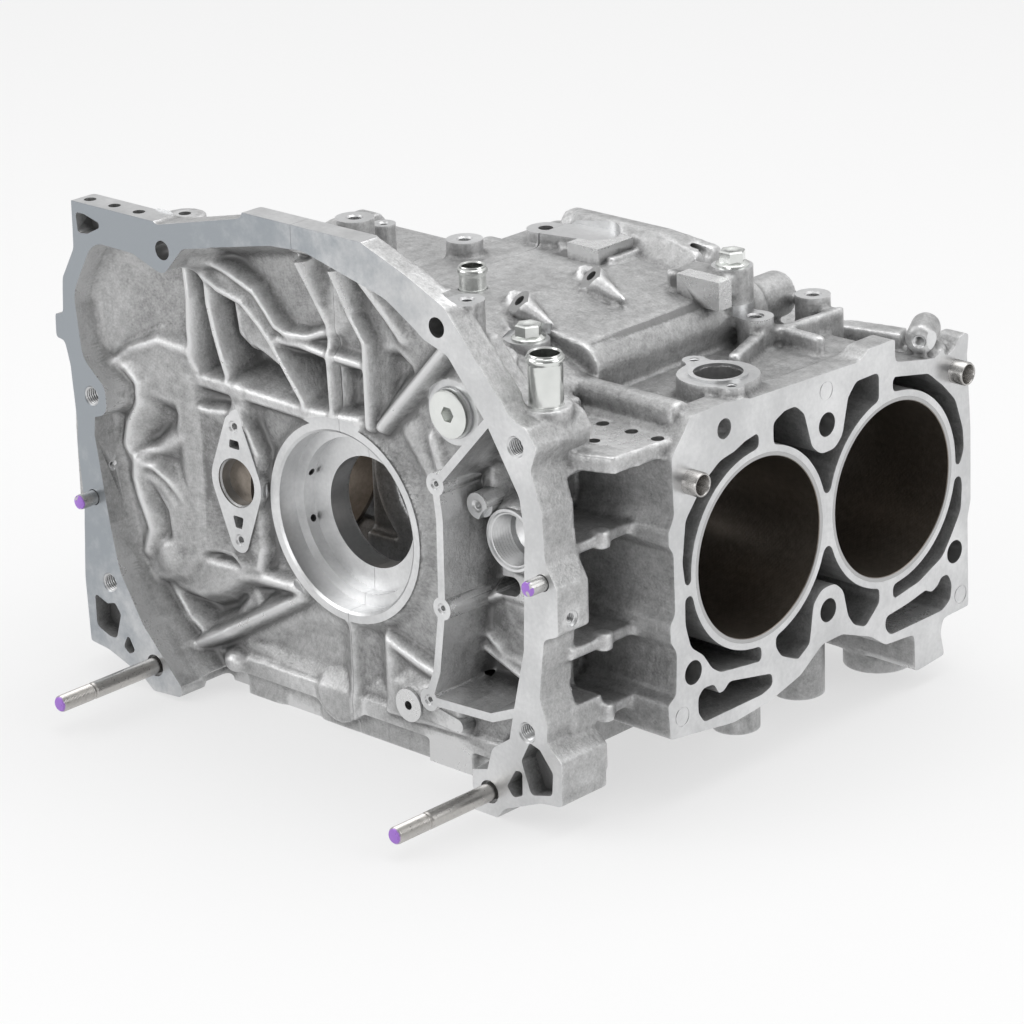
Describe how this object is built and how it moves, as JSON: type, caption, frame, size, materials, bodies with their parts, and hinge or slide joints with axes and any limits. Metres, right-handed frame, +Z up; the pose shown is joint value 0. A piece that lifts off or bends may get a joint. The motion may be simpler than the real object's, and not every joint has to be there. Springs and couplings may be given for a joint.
{
  "type": "flat-four engine crankcase",
  "caption": "Bare aluminium crankcase of a flat engine: two bolted halves with iron cylinder liners, a bell for the gearbox, dowels, studs and hose nipples.",
  "frame": {"origin": "on the crankshaft axis at the mouth of the rear seal bore", "axes": "+Y along the crankshaft away from the gearbox, +X across towards the right bank, +Z up from the oil pan"},
  "size_m": [0.42, 0.3954, 0.3018],
  "materials": {
    "cast_aluminium": "as cast, with machined faces and bores",
    "liner_iron": "honed",
    "zinc_plated_steel": "zinc plated",
    "plain_steel": "machined"
  },
  "bodies": {
    "root": {"case_bolt_upper_1": "zinc_plated_steel", "case_bolt_upper_2": "zinc_plated_steel", "case_bolt_upper_3": "zinc_plated_steel", "case_half_left": "cast_aluminium", "case_half_right": "cast_aluminium", "case_pin_1": "plain_steel", "case_pin_2": "plain_steel", "cylinder_liner_1": "liner_iron", "cylinder_liner_2": "liner_iron", "cylinder_liner_3": "liner_iron", "cylinder_liner_4": "liner_iron", "flange_bolt_front": "zinc_plated_steel", "flange_bolt_rear": "zinc_plated_steel", "gearbox_dowel_left": "plain_steel", "gearbox_dowel_right": "plain_steel", "head_dowel_left_1": "plain_steel", "head_dowel_left_2": "plain_steel", "head_dowel_right_1": "plain_steel", "head_dowel_right_2": "plain_steel", "hose_nipple_large": "zinc_plated_steel", "hose_nipple_small": "zinc_plated_steel", "service_plug": "zinc_plated_steel", "service_plug_washer": "cast_aluminium", "stud_lower_left": "zinc_plated_steel", "stud_lower_right": "zinc_plated_steel"}
  },
  "joints": []
}
